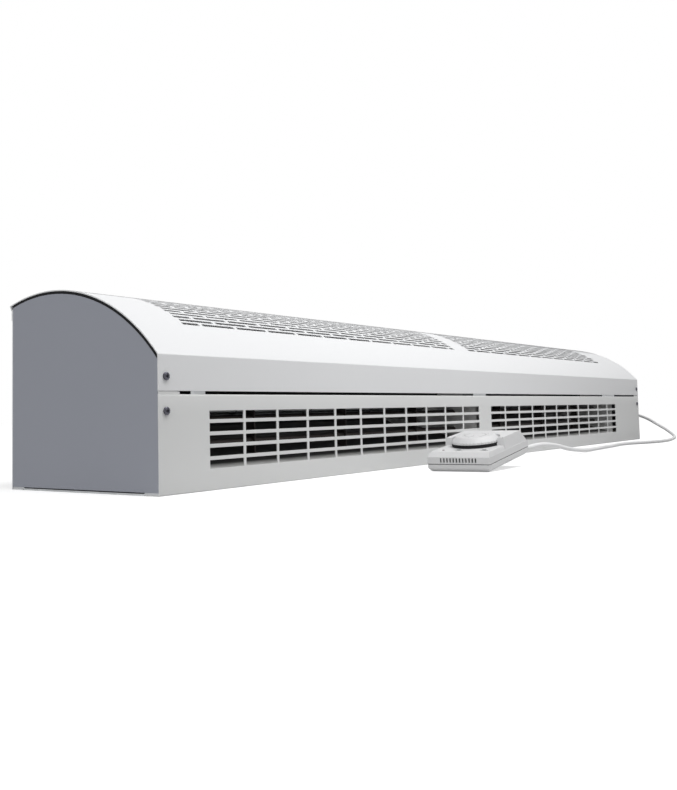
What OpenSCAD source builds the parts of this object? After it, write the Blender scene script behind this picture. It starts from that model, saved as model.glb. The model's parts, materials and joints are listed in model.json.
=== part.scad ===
// Heated air curtain with a wired remote control, lying on its wall face.
// X runs along the casing, -Y is the outlet side and +Z is the room side.
// The origin is the centre of the wall face.

/* [Casing] */
// Length over the two end panels
body_len = 1500; // [1496:1:1540]
// Depth from the outlet face to the rear face
body_depth = 230; // [228:1:234]
// Thickness of the casing sheet
sheet_t = 1.2; // [1:0.1:1.4]
// Thickness of the wall plate
wall_plate_t = 2; // [1.6:0.1:2.4]
// Outer radius of the arched cover
arch_r = 219.2; // [219:0.1:222]
// Crest of the arch behind the middle of the casing
arch_y = 52; // [50:0.5:54]
// Height of the crest over the wall face
crest_z = 213.1; // [211:0.1:216]
// Outer radius of the fold between the arch and the front strip
fold_r = 4; // [3:0.5:5]
// Lower edge of the cover's front strip
strip_z = 100.5; // [99:0.5:102]
// Overhang of the cover's drip edge behind the rear face
drip_out = 4.7; // [3:0.1:6]
// Thickness of the rubber strip between cover and end panels
gasket_t = 3; // [2.5:0.1:3.5]

/* [Inlet slots] */
// Angle of the first slot row, up the arch from the front
slot_first = 54.9; // [54:0.1:57]
// Angle between slot rows
slot_step = 2.05; // [2:0.05:2.2]
// Number of slot rows
slot_rows = 24; // [8:1:24]
// Width of one slot along the arch
slot_h = 4.5; // [3:0.1:5]
// Distance between the webs of one row
slot_pitch = 56.3; // [50:0.1:60]
// Width of the web between two slots
slot_web = 5; // [4:0.5:8]

/* [Outlet windows] */
// Height of the front panel
front_h = 97.2; // [95:0.1:98]
// Columns of openings in one window
outlet_cols = 11; // [6:1:11]
// Rows of openings in one window
outlet_rows = 5; // [3:1:5]
// Width of one opening
outlet_w = 52.5; // [45:0.5:53]
// Height of one opening
outlet_h = 8.4; // [7:0.1:9]
// Distance between columns
outlet_pitch_x = 56; // [55:0.5:56]
// Distance between rows
outlet_pitch_z = 12.5; // [12:0.1:12.8]
// Top of the first row
outlet_top = 80.5; // [79:0.5:82]

/* [Fan] */
// Outer radius of the drum impellers
drum_r = 50; // [46:0.5:51]
// Inner radius of the blade ring
drum_in_r = 39; // [36:0.5:40]
// Blades on one drum
blade_count = 24; // [16:1:30]
// Thickness of a blade
blade_t = 1; // [0.8:0.1:1.4]
// Radius that a blade is curved to
blade_curve = 11; // [10:0.5:12]
// Fan shaft radius
shaft_r = 5; // [4:0.5:5]
// Running clearance of the shaft in its bearings
bearing_gap = 0.06; // [0.02:0.01:0.09]
// Inner radius of the scroll sheet
scroll_r = 60; // [59:0.5:61]

/* [Remote] */
// Length of the remote
remote_l = 130; // [126:1:134]
// Width of the remote
remote_w = 83; // [82:1:86]
// Height of the parting line
remote_seam = 9.3; // [9:0.1:9.6]
// Height of the upper rim
remote_rim = 18.4; // [18:0.1:19]
// Height of the ledge in front of the dial
remote_ledge = 24; // [23.5:0.1:24.5]
// Height of the raised top
remote_top = 34; // [33.5:0.1:35]
// Radius of the temperature dial
dial_r = 30.6; // [28:0.1:31]
// Tilt of the remote, its cable end being held up
remote_tilt = 7.4; // [7.4:0.1:7.5]
// Turn of the remote towards the casing
remote_yaw = 2.5; // [2:0.1:3]
// Radius of the remote's cable
cord_r = 3.25; // [3:0.05:3.3]

/* [Hidden] */
$fn = 64;

half_l = body_len / 2;
half_d = body_depth / 2;
arch_z = crest_z - arch_r;
face_in = half_d - sheet_t;
plate_top = sheet_t + wall_plate_t;
cover_in_r = arch_r - sheet_t;
panel_r = cover_in_r - gasket_t;

// the fold's centre lies where both faces are tangent to it
fold_y = fold_r - half_d;
fold_z = arch_z + sqrt(pow(arch_r - fold_r, 2) - pow(arch_y - fold_y, 2));
fold_a = 180 - atan2(fold_z - arch_z, arch_y - fold_y);
tip_a = acos((half_d + drip_out - arch_y) / arch_r);
lip_z = 186;

flange_w = 12;
front_flange_w = 19;
foot_w = 19;
screw_r = 2;
screw_hole_r = 2.1;
screw_head_r = 4;
screw_head_t = 2.4;
front_screw_x = half_l - 10;
front_screw_z = [81, 114.5];
rear_screw_x = [for (k = [-1, -0.6, -0.2, 0.2, 0.6, 1]) k * front_screw_x];
rear_screw_z = 192;

window_x = [70.3 - half_l, 725.6 - half_l];
inlet_x = [[74 - half_l, 683 - half_l], [734 - half_l, 1362 - half_l]];

wall_hole_x = 715;
wall_hole_y = 80;
wall_hole_r = 3.5;
keyhole_x = 300;
keyhole_y = 50;

// bulkheads, by the face that looks into the duct or bay on their left
bulk_x = [-684, -62, -26, 586];
bulk_front = -107;
bulk_r = cover_in_r - 1;
bulk_hole_r = 14;
shaft_y = 20;
shaft_z = 115;
scroll_y = 25;
scroll_z = 112;
scroll_a = -105;
duct_floor_z = 20;
duct_roof_z = 84.5;
heater_r = 4;
heater_y = -66;
heater_z = [46, 72];

drum_x = [[-679, -66], [-21, 582]];
bulk_foot = 8;
disc_t = 1.5;
hub_r = 12;
hub_l = 14;

motor_x = 606;
motor_l = 96;
motor_r = 42;
bell_t = 8;
bracket_t = 3;

gland_y = -55;
gland_z = 60.5;
gland_l = 14;

remote_at = [-353.5, -226.6, 0];
case_in = 4.1;
case_t = 2;
case_x0 = -case_in;
top_half_w = 39;
block_x = [50, 107];
dial_x = 54;
dial_gap = 0.8;
dial_z = 28.2;
dial_t = 8.4;
dial_top_r = 24;
spindle_r = 3;
spindle_gap = 0.05;
knob_x = 14;
knob_y = [6, -28];
lamp_y = 27;
gland_x = [106, 124];
gland_side = 11;
cord_drop = 6;
board_z = 8;

cord_sides = 10;
cord_steps = 3;
cord_points = [[-241.3, -210.7, 8.6], [-214.1, -209.5, 12.1], [-178, -210.5, 16], [-136, -217, 18.9],
               [-88, -223.5, 22.3], [-38, -226, 18.6], [10, -225.5, 12], [60, -221, 8],
               [113, -213, 5], [168, -205, 3.5], [225, -199, 3.3], [285, -195, 3.3],
               [345, -190, 3.3], [402, -184.5, 3.3], [453, -191, 3.3], [500, -208, 3.3],
               [548, -217, 3.3], [600, -217, 3.3], [655, -209, 3.3], [710, -199, 3.3],
               [765, -187, 3.6], [818, -172, 5.5], [864, -153, 11], [891, -131.5, 21],
               [895.5, -111.5, 32.5], [887, -95.5, 44], [864, -80.5, 53.5], [832, -67, 59.3],
               [798, -57.5, 60.8], [764, -55, 60.5]];

// outline of a bent sheet of thickness t on the left of the line p
function unit(v) = v / norm(v);
function left_of(v) = [-v[1], v[0]];
function run_dir(p, i) = unit(p[i + 1] - p[i]);
function mitre(p, i) =
    i == 0 ? left_of(run_dir(p, 0))
    : i == len(p) - 1 ? left_of(run_dir(p, i - 1))
    : let (a = left_of(run_dir(p, i - 1)), b = left_of(run_dir(p, i))) (a + b) / (1 + a * b);
function ribbon(p, t) =
    concat(p, [for (i = [len(p) - 1 : -1 : 0]) p[i] + t * mitre(p, i)]);

// point on a circle in the profile plane
function on_circle(c, r, a) = c + r * [cos(a), sin(a)];

// smooth point on the cable's route, u being 0 to 1 within span i
function route_at(p, i) = p[max(0, min(len(p) - 1, i))];
function smooth(p, i, u) =
    let (a = route_at(p, i - 1), b = p[i], c = route_at(p, i + 1), d = route_at(p, i + 2))
    0.5 * (2 * b + (c - a) * u + (2 * a - 5 * b + 4 * c - d) * u * u
           + (3 * b - a - 3 * c + d) * u * u * u);

// a profile drawn in Y and Z, carried along X
module along_x(x0, x1) {
    translate([x0, 0, 0])
        rotate([90, 0, 90])
            linear_extrude(x1 - x0)
                children();
}

module rod_x(x0, x1, r, y = shaft_y, z = shaft_z) {
    translate([x0, y, z])
        rotate([0, 90, 0])
            cylinder(r = r, h = x1 - x0);
}

module rod_y(y0, y1, r, x, z) {
    translate([x, y1, z])
        rotate([90, 0, 0])
            cylinder(r = r, h = y1 - y0);
}

module box(low, high) {
    translate(low)
        cube(high - low);
}

// sector of a ring round the origin of the profile plane
module ring_sector(r_out, r_in, a0, a1, fn = 64) {
    intersection() {
        difference() {
            circle(r = r_out, $fn = fn);
            circle(r = r_in, $fn = fn);
        }
        polygon(concat([[0, 0]], [for (k = [0 : 4]) on_circle([0, 0], 1.3 * r_out, a0 + k * (a1 - a0) / 4)]));
    }
}

// pan head screw along +Y with its head's seat at y0
module pan_screw(x, y0, z, grip) {
    difference() {
        union() {
            rod_y(y0 - screw_head_t, y0, screw_head_r, x, z);
            rod_y(y0 - 0.1, y0 + grip, screw_r, x, z);
        }
        for (a = [0, 90])
            translate([x, y0 - screw_head_t, z])
                rotate([0, a, 0])
                    cube([4.6, 2.4, 0.9], center = true);
    }
}

// -------------------------------------------------------------- casing

module wall_plate() {
    side = half_d - foot_w - 0.5;
    under = [[sheet_t - half_d + 0.3, sheet_t], [-side, sheet_t], [1.2 - side, 0],
             [side - 1.2, 0], [side, sheet_t], [half_d - sheet_t - 0.3, sheet_t]];
    color("gainsboro")
        difference() {
            along_x(0.5 - half_l, half_l - 0.5)
                polygon(ribbon(under, wall_plate_t));
            for (x = [-wall_hole_x, wall_hole_x], y = [-wall_hole_y, wall_hole_y])
                translate([x, y, -1])
                    cylinder(r = wall_hole_r, h = 5);
            for (x = [-keyhole_x, keyhole_x])
                translate([x, keyhole_y, -1]) {
                    cylinder(r = 6, h = 5);
                    translate([-3, 0, 0])
                        cube([6, 14, 5]);
                    translate([0, 14, 0])
                        cylinder(r = 3, h = 5);
                }
        }
}

module rear_panel() {
    color("whitesmoke")
        difference() {
            union() {
                along_x(-half_l, half_l)
                    polygon(ribbon([[half_d - foot_w, 0], [half_d, 0], [half_d, 198]], sheet_t));
                along_x(2 * flange_w - half_l, half_l - 2 * flange_w)
                    polygon([[102, 196.8], [face_in + 0.1, 196.8], [face_in + 0.1, 198], [102, 198]]);
            }
            for (x = rear_screw_x)
                rod_y(face_in - 1, half_d + 1, screw_hole_r, x, rear_screw_z);
            rod_y(face_in - 1, half_d + 1, 9, 700, 40);
        }
}

// end panel's outline, drawn in by d
module panel_outline(d) {
    intersection() {
        translate([arch_y, arch_z])
            circle(r = panel_r - d, $fn = 180);
        translate([d - face_in, plate_top + d])
            square([2 * (face_in - d), crest_z]);
    }
}

// the right-hand end panel, with its flanges turned inwards
module end_panel_blank() {
    difference() {
        union() {
            along_x(half_l - sheet_t, half_l)
                panel_outline(0);
            along_x(half_l - flange_w, half_l)
                difference() {
                    panel_outline(0);
                    panel_outline(sheet_t);
                }
            box([half_l - front_flange_w, -face_in, plate_top], [half_l - 1, sheet_t - face_in, 128]);
        }
        for (z = front_screw_z)
            rod_y(-face_in - 1, 2 - face_in, screw_hole_r, front_screw_x, z);
        rod_y(face_in - 2, face_in + 1, screw_hole_r, front_screw_x, rear_screw_z);
    }
}

module end_panel_left() {
    color("lightslategray")
        mirror([1, 0, 0])
            end_panel_blank();
}

module end_panel_right() {
    color("lightslategray")
        difference() {
            end_panel_blank();
            rod_x(half_l - 3, half_l + 1, 6.2, gland_y, gland_z);
        }
}

// arch, front fold and drip edge; both bends start inside the arch's sheet
module cover_sheet() {
    arch_c = [arch_y, arch_z];
    fold_c = [fold_y, fold_z];
    mid_r = arch_r - sheet_t / 2;
    lip_y = half_d + sheet_t;
    along_x(-half_l, half_l)
        translate(arch_c)
            ring_sector(arch_r, cover_in_r, tip_a, fold_a, 180);
    along_x(-half_l, half_l)
        polygon(concat([on_circle(arch_c, mid_r, fold_a - 0.8)],
            [for (k = [0 : 5]) on_circle(fold_c, fold_r, fold_a + k * (180 - fold_a) / 5)],
            [[-half_d, strip_z], [-face_in, strip_z]],
            [for (k = [5 : -1 : 0]) on_circle(fold_c, fold_r - sheet_t, fold_a + k * (180 - fold_a) / 5)]));
    along_x(-half_l, half_l)
        polygon([on_circle(arch_c, mid_r, tip_a + 0.15), [lip_y, lip_z + 10], [lip_y, lip_z],
                 [half_d, lip_z], [half_d, lip_z + 10.5], on_circle(arch_c, mid_r, tip_a + 0.5)]);
}

// one row of slots between x0 and x1; shift moves its webs
module slot_row(x0, x1, shift, a) {
    translate([0, arch_y, arch_z])
        rotate([a, 0, 0])
            for (k = [0 : ceil((x1 - x0) / slot_pitch)]) {
                s = max(x0, x0 + shift + (k - 1) * slot_pitch + slot_web / 2);
                e = min(x1, x0 + shift + k * slot_pitch - slot_web / 2);
                if (e - s > 2 * slot_h)
                    translate([s, cover_in_r - 3, -slot_h / 2])
                        cube([e - s, 8, slot_h]);
            }
}

module top_cover() {
    color("white")
        difference() {
            cover_sheet();
            for (i = [0 : slot_rows - 1], s = inlet_x)
                slot_row(s[0], s[1], (i % 2 == 0 ? 0.5 : 1) * slot_pitch, 180 - slot_first - i * slot_step);
            for (x = [-front_screw_x, front_screw_x])
                rod_y(-half_d - 1, 1 - face_in, screw_hole_r, x, front_screw_z[1]);
            for (x = rear_screw_x)
                rod_y(half_d - 1, half_d + 2, screw_hole_r, x, rear_screw_z);
        }
}

module front_panel() {
    color("lightgray")
        difference() {
            union() {
                along_x(-half_l, half_l)
                    polygon([[-half_d, 0], [foot_w - half_d, 0], [foot_w - half_d, sheet_t],
                             [-face_in, sheet_t], [-face_in, front_h], [-half_d, front_h]]);
                along_x(1.5 * front_flange_w - half_l, half_l - 1.5 * front_flange_w)
                    polygon([[-half_d, front_h - sheet_t], [bulk_front - 0.5, front_h - sheet_t],
                             [bulk_front - 0.5, front_h], [-half_d, front_h]]);
            }
            for (x0 = window_x, c = [0 : outlet_cols - 1], r = [0 : outlet_rows - 1])
                translate([x0 + c * outlet_pitch_x, -half_d - 1, outlet_top - outlet_h - r * outlet_pitch_z])
                    cube([outlet_w, 3, outlet_h]);
            for (x = [-front_screw_x, front_screw_x])
                rod_y(-half_d - 1, 1 - face_in, screw_hole_r, x, front_screw_z[0]);
        }
}

module gasket_blank() {
    along_x(half_l - flange_w, half_l)
        intersection() {
            translate([arch_y, arch_z])
                difference() {
                    circle(r = cover_in_r, $fn = 180);
                    circle(r = panel_r, $fn = 180);
                }
            translate([-face_in, plate_top + 60])
                square([2 * face_in, crest_z]);
        }
}

module gasket_left() {
    color("black")
        mirror([1, 0, 0])
            gasket_blank();
}

module gasket_right() {
    color("black")
        gasket_blank();
}

// clip behind the slot between cover and front panel
module catch_clip(x0, x1, leg_x) {
    color("gainsboro") {
        box([x0, -face_in, front_h], [x1, sheet_t - face_in, 112]);
        box([leg_x - sheet_t, -face_in, front_h], [leg_x, -85, 112]);
    }
}

module catch_left() {
    catch_clip(45 - half_l, bulk_x[0], bulk_x[0]);
}

module catch_mid() {
    catch_clip(667 - half_l, 711 - half_l, bulk_x[1]);
}

module catch_right() {
    catch_clip(1262 - half_l, bulk_x[3], bulk_x[3]);
}

module front_screws() {
    color("silver")
        for (x = [-front_screw_x, front_screw_x], z = front_screw_z)
            pan_screw(x, -half_d, z, 8);
}

module rear_screws() {
    color("silver")
        for (x = rear_screw_x)
            mirror([0, 1, 0])
                pan_screw(x, -half_d - sheet_t, rear_screw_z, 8);
}

// ------------------------------------------------------------ air duct

module bulkhead(x, hole_r) {
    color("darkgray")
        difference() {
            union() {
                along_x(x, x + sheet_t)
                    intersection() {
                        translate([arch_y, arch_z])
                            circle(r = bulk_r, $fn = 180);
                        translate([bulk_front, plate_top])
                            square([face_in - bulk_front - 1, crest_z]);
                    }
                box([x, bulk_front + 12, plate_top], [x + bulk_foot, face_in - 12, plate_top + sheet_t]);
            }
            rod_x(x - 1, x + sheet_t + 1, hole_r);
            box([x - 1, 100, 190], [x + 2, 120, 215]);
        }
}

module bulkhead_left() {
    bulkhead(bulk_x[0], bulk_hole_r);
}

// bulkhead with the two holes that hold an element's ends
module heater_bulkhead(x) {
    difference() {
        bulkhead(x, bulk_hole_r);
        for (z = heater_z)
            rod_x(x - 1, x + sheet_t + 1, heater_r, heater_y, z);
    }
}

module bulkhead_mid_left() {
    heater_bulkhead(bulk_x[1]);
}

module bulkhead_mid_right() {
    bulkhead(bulk_x[2], bulk_hole_r);
}

module bulkhead_right() {
    heater_bulkhead(bulk_x[3]);
}

// curved back wall of the fan and the floor of its duct
module scroll(x0, x1) {
    c = [scroll_y, scroll_z];
    color("darkgray")
        along_x(x0, x1) {
            translate(c)
                ring_sector(scroll_r + sheet_t, scroll_r, scroll_a, 60);
            polygon([[bulk_front, duct_floor_z], on_circle(c, scroll_r + sheet_t, scroll_a),
                     on_circle(c, scroll_r + sheet_t / 2, scroll_a + 1.2), on_circle(c, scroll_r, scroll_a),
                     [bulk_front, duct_floor_z + sheet_t]]);
        }
}

module scroll_left() {
    scroll(bulk_x[0] + sheet_t, bulk_x[1]);
}

module scroll_right() {
    scroll(bulk_x[2] + sheet_t, bulk_x[3]);
}

// lip between the fan's inlet and the duct, curled up at its edge
module tongue(x0, x1) {
    color("darkgray")
        along_x(x0, x1)
            polygon(ribbon([[bulk_front, duct_roof_z], [-46, 90], [-39.5, 92.5], [-36.5, 97], [-38, 102],
                            [-46, 122]], sheet_t));
}

module tongue_left() {
    tongue(bulk_x[0] + sheet_t, bulk_x[1]);
}

module tongue_right() {
    tongue(bulk_x[2] + sheet_t, bulk_x[3]);
}

// hairpin tubular element; both ends leave through the bulkhead on its right
module heater(x0, x1) {
    bend_r = (heater_z[1] - heater_z[0]) / 2;
    color("dimgray") {
        for (z = heater_z)
            rod_x(x0 + bend_r + 8, x1 + sheet_t + 10, heater_r, heater_y, z);
        translate([x0 + bend_r + 8, heater_y, (heater_z[0] + heater_z[1]) / 2])
            rotate([90, 0, 0])
                rotate([0, 0, 90])
                    rotate_extrude(angle = 180)
                        translate([bend_r, 0])
                            circle(r = heater_r);
    }
}

module heater_left() {
    heater(bulk_x[0] + sheet_t, bulk_x[1]);
}

module heater_right() {
    heater(bulk_x[2] + sheet_t, bulk_x[3]);
}

// plates that carry the elements, from the duct's floor to its roof
module heater_brackets() {
    far = on_circle([scroll_y, scroll_z], scroll_r, scroll_a);
    near = [bulk_front, duct_floor_z + sheet_t];
    function floor_at(y) = [y, near[1] + (y - near[0]) * (far[1] - near[1]) / (far[0] - near[0])];
    function roof_at(y) = [y, duct_roof_z + (y - bulk_front) * (90 - duct_roof_z) / (-46 - bulk_front)];
    y0 = heater_y - 7;
    y1 = heater_y + 7;
    color("lightgray")
        for (x = [-560, -375, -190, 100, 285, 470])
            difference() {
                union() {
                    along_x(x, x + sheet_t)
                        polygon([floor_at(y0), floor_at(y1), roof_at(y1), roof_at(y0)]);
                    along_x(x, x + 9)
                        polygon([floor_at(y0), floor_at(y1), floor_at(y1) + [0, 1.2], floor_at(y0) + [0, 1.2]]);
                }
                for (z = heater_z)
                    rod_x(x - 1, x + 3, heater_r, heater_y, z);
            }
}

// ---------------------------------------------------------------- fan

// one curved blade as a slice of a ring that leans forward
module blade_profile() {
    intersection() {
        translate([(drum_r + drum_in_r) / 2 - 3, blade_curve - 3])
            difference() {
                circle(r = blade_curve);
                circle(r = blade_curve - blade_t);
            }
        difference() {
            circle(r = drum_r - 0.6);
            circle(r = drum_in_r);
        }
        translate([drum_in_r - 8, -6])
            square([26, 12]);
    }
}

module impeller(span) {
    pitch = (span[1] - span[0] - disc_t) / 4;
    color("slategray")
        difference() {
            union() {
                along_x(span[0] + 0.2, span[1] - 0.2)
                    translate([shaft_y, shaft_z])
                        for (k = [0 : blade_count - 1])
                            rotate(k * 360 / blade_count)
                                blade_profile();
                for (k = [0 : 4])
                    difference() {
                        rod_x(span[0] + k * pitch, span[0] + k * pitch + disc_t, drum_r);
                        if (k > 0 && k < 4)
                            rod_x(span[0] + k * pitch - 1, span[0] + k * pitch + 3, drum_in_r - 3);
                    }
                rod_x(span[0], span[0] + hub_l, hub_r);
                rod_x(span[1] - hub_l, span[1], hub_r);
            }
            rod_x(span[0] - 1, span[0] + hub_l + 1, shaft_r);
            rod_x(span[1] - hub_l - 1, span[1] + 1, shaft_r);
        }
}

module impeller_left() {
    impeller(drum_x[0]);
}

module impeller_right() {
    impeller(drum_x[1]);
}

module shaft_left() {
    color("silver")
        rod_x(drum_x[0][0] - 18, drum_x[0][0] + hub_l, shaft_r);
}

module shaft_mid() {
    color("silver")
        rod_x(drum_x[0][1] - hub_l, drum_x[1][0] + hub_l, shaft_r);
}

module motor_shaft() {
    color("silver")
        rod_x(drum_x[1][1] - hub_l, motor_x + motor_l + bell_t + 2, shaft_r);
}

module coupling() {
    color("black")
        difference() {
            rod_x(drum_x[1][1], drum_x[1][1] + 10, 11);
            rod_x(drum_x[1][1] - 1, drum_x[1][1] + 11, shaft_r);
        }
}

module bearing_left() {
    x = bulk_x[0];
    color("dimgray")
        difference() {
            union() {
                rod_x(x - 4, x, 22);
                rod_x(x - 12, x - 3, 14);
            }
            rod_x(x - 13, x + 1, shaft_r + bearing_gap);
        }
}

module bearing_mid() {
    x0 = bulk_x[1] + sheet_t + flange_w + 1;
    color("dimgray")
        difference() {
            union() {
                rod_x(x0, x0 + 16, 16);
                box([x0 + 2, shaft_y - 11, plate_top], [x0 + 14, shaft_y + 11, shaft_z - 8]);
                box([x0, shaft_y - 26, plate_top], [x0 + 16, shaft_y + 26, plate_top + 5]);
            }
            rod_x(x0 - 1, x0 + 17, shaft_r + bearing_gap);
        }
}

module motor_rotor() {
    color("gray")
        difference() {
            rod_x(motor_x + 10, motor_x + motor_l - 10, 25);
            rod_x(motor_x + 9, motor_x + motor_l - 9, shaft_r);
        }
}

// motor body with cooling rings
module motor_can() {
    color("slategray")
        difference() {
            union() {
                rod_x(motor_x, motor_x + motor_l, motor_r - 3);
                for (k = [0 : 7])
                    rod_x(motor_x + 6 + k * 11, motor_x + 11 + k * 11, motor_r);
            }
            rod_x(motor_x - 1, motor_x + motor_l + 1, 26);
        }
}

module motor_bell(x0, boss_x) {
    color("darkgray")
        difference() {
            union() {
                rod_x(x0, x0 + bell_t, motor_r);
                rod_x(boss_x, boss_x + 4, 13);
            }
            rod_x(boss_x - 9, boss_x + 13, shaft_r + bearing_gap);
        }
}

module motor_bell_inner() {
    motor_bell(motor_x - bell_t, motor_x - bell_t - 3.5);
}

module motor_bell_outer() {
    motor_bell(motor_x + motor_l, motor_x + motor_l + bell_t - 0.5);
}

// folded bracket with a foot and two gussets
module motor_bracket() {
    x = motor_x - bell_t - bracket_t;
    color("gainsboro")
        difference() {
            union() {
                box([x, shaft_y - 50, plate_top], [x + bracket_t, shaft_y + 50, shaft_z + 46]);
                box([x, shaft_y - 50, plate_top], [x + 70, shaft_y + 50, plate_top + bracket_t]);
                for (y = [shaft_y - 50, shaft_y + 47])
                    translate([x, y + bracket_t, plate_top])
                        rotate([90, 0, 0])
                            linear_extrude(bracket_t)
                                polygon([[0, 0], [60, 0], [60, 8], [8, 70], [0, 70]]);
            }
            rod_x(x - 1, x + bracket_t + 1, 14);
        }
}

module motor_capacitor() {
    color("whitesmoke") {
        rod_x(600, 655, 15, 91, plate_top + 15);
        rod_x(655, 659, 5, 91, plate_top + 15);
    }
}

module terminal_block() {
    color("ivory")
        difference() {
            box([602, -98, plate_top], [674, -74, plate_top + 20]);
            for (k = [0 : 5])
                translate([610 + 11 * k, -86, plate_top + 12])
                    cylinder(r = 3, h = 10);
        }
}

module control_board() {
    color("seagreen")
        box([604, -66, plate_top + 8], [694, -34, plate_top + 9.6]);
}

module relays() {
    color("midnightblue")
        for (k = [0 : 2])
            box([610 + k * 28, -60, plate_top + 9.6], [630 + k * 28, -44, plate_top + 25]);
}

module board_posts() {
    color("white")
        for (x = [608, 690], y = [-62, -38])
            translate([x, y, plate_top])
                cylinder(r = 3, h = 8);
}

module thermal_cutout() {
    color("black") {
        rod_x(bulk_x[3] + sheet_t, bulk_x[3] + sheet_t + 6, 8, -60, 100);
        box([bulk_x[3] + sheet_t, -74, 97], [bulk_x[3] + sheet_t + 1.5, -46, 103]);
    }
}

module mains_grommet() {
    color("black")
        difference() {
            union() {
                rod_y(face_in - 3, face_in, 12, 700, 40);
                rod_y(face_in - 3, half_d + 3, 9, 700, 40);
                rod_y(half_d, half_d + 3, 12, 700, 40);
            }
            rod_y(face_in - 4, half_d + 4, 6, 700, 40);
        }
}

module cord_gland() {
    color("whitesmoke")
        difference() {
            union() {
                rod_x(half_l, half_l + 5, 10, gland_y, gland_z);
                rod_x(half_l + 5, half_l + gland_l, 7.5, gland_y, gland_z);
                rod_x(half_l - 12, half_l, 6, gland_y, gland_z);
                rod_x(half_l - 6, half_l - sheet_t, 9.5, gland_y, gland_z);
            }
            rod_x(half_l - 13, half_l + gland_l - 6, cord_r + 0.2, gland_y, gland_z);
        }
}

// -------------------------------------------------------------- remote

module at_remote() {
    translate(remote_at)
        rotate([0, -remote_tilt, remote_yaw])
            children();
}

// frustum between two rectangles given as [x0, x1, half width, z]
module frustum(a, b) {
    slice = 0.01;
    hull() {
        box([a[0], -a[2], a[3]], [a[1], a[2], a[3] + slice]);
        box([b[0], -b[2], b[3] - slice], [b[1], b[2], b[3]]);
    }
}

module remote_base() {
    x1 = case_x0 + remote_l;
    w = remote_w / 2;
    color("whitesmoke")
        at_remote()
            difference() {
                union() {
                    frustum([0, x1 - case_in, w - case_in, 0], [case_x0, x1, w, case_in]);
                    box([case_x0, -w, case_in - 0.005], [x1, w, remote_seam]);
                }
                box([case_x0 + 4, 4 - w, case_t], [x1 - 4, w - 4, case_in]);
                box([case_x0 + case_t, case_t - w, case_in - 0.1], [x1 - case_t, w - case_t, remote_seam + 1]);
            }
}

module remote_cover() {
    x1 = case_x0 + remote_l;
    w = remote_w / 2;
    in = 0.5;
    color("whitesmoke")
        at_remote()
            difference() {
                union() {
                    box([case_x0 + in, in - w, remote_seam], [x1 - in, w - in, remote_seam + 1]);
                    box([case_x0, -w, remote_seam + 0.8], [x1, w, remote_rim]);
                    frustum([case_x0, block_x[0] + 9, w - 0.5, remote_rim - 0.005],
                            [2, block_x[0] + 9, top_half_w, remote_ledge]);
                    frustum([block_x[0] - 1, x1 - 3, w - 0.5, remote_rim - 0.005],
                            [block_x[0], block_x[1], top_half_w, remote_top]);
                }
                box([case_x0 + case_t, case_t - w, remote_seam - 1], [x1 - case_t, w - case_t, remote_rim - 1]);
                box([4, 4 - top_half_w, remote_rim - 2], [116, top_half_w - 4, remote_ledge - case_t]);
                difference() {
                    box([block_x[0] + 3, 3 - top_half_w, remote_ledge - case_t - 1],
                        [block_x[1] - 3, top_half_w - 3, remote_top - case_t]);
                    translate([dial_x, 0, dial_z - dial_gap - case_t])
                        cylinder(r = dial_r + dial_gap + case_t, h = 20, $fn = 96);
                    translate([dial_x, 0, remote_ledge - 5])
                        cylinder(r = 7, h = 20);
                }
                translate([dial_x, 0, dial_z - dial_gap])
                    cylinder(r = dial_r + dial_gap, h = 20, $fn = 96);
                translate([dial_x, 0, remote_ledge - 4])
                    cylinder(r = spindle_r + spindle_gap, h = 20);
                for (y = knob_y)
                    box([knob_x - 1.8, y - 5.5, remote_ledge - 4], [knob_x + 1.8, y + 5.5, remote_ledge + 1]);
                translate([knob_x, lamp_y, remote_ledge - 4])
                    cylinder(r = 1.6, h = 6);
                for (k = [-5.5 : 5.5])
                    box([case_x0 - 1, k * 4.2 - 1, 11.8], [case_x0 + case_t + 1, k * 4.2 + 1, 17.2]);
            }
}

// dial with a fluted skirt, a sloped side, a ring groove with a pointer, and its spindle
module temperature_dial() {
    flutes = 40;
    color("white")
        at_remote()
            translate([dial_x, 0, 0])
                difference() {
                    union() {
                        translate([0, 0, dial_z])
                            rotate_extrude($fn = 96)
                                polygon([[0, 0], [dial_r, 0], [dial_r, 2.2], [dial_top_r + 1, dial_t - 0.6],
                                         [dial_top_r, dial_t], [0, dial_t]]);
                        translate([0, 0, remote_ledge - 6])
                            cylinder(r = spindle_r, h = dial_z - remote_ledge + 7);
                    }
                    for (k = [0 : flutes - 1])
                        rotate(k * 360 / flutes)
                            translate([dial_r + 0.5, 0, dial_z - 1])
                                cylinder(r = 1.2, h = dial_t + 2, $fn = 16);
                    translate([0, 0, dial_z + dial_t - 1])
                        difference() {
                            cylinder(r = 14.2, h = 2);
                            translate([0, 0, -1])
                                cylinder(r = 13, h = 4);
                        }
                    box([-12, -0.8, dial_z + dial_t - 0.8], [-4, 0.8, dial_z + dial_t + 1]);
                }
}

module thermostat() {
    color("ivory")
        at_remote()
            difference() {
                box([dial_x - 16, -16, board_z + 1.6], [dial_x + 16, 16, remote_ledge - 2.8]);
                translate([dial_x, 0, remote_ledge - 7])
                    cylinder(r = spindle_r + spindle_gap, h = 6);
            }
}

// slide knob, its foot held under the ledge
module slide_knob(y) {
    color("silver")
        at_remote() {
            box([knob_x - 1.4, y - 2, remote_ledge - 2.4], [knob_x + 1.4, y + 2, remote_ledge + 1.6]);
            box([knob_x - 3, y - 4.5, remote_ledge - 4], [knob_x + 3, y + 4.5, remote_ledge - 2.3]);
        }
}

module fan_switch() {
    slide_knob(knob_y[0]);
}

module heat_switch() {
    slide_knob(knob_y[1]);
}

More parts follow.
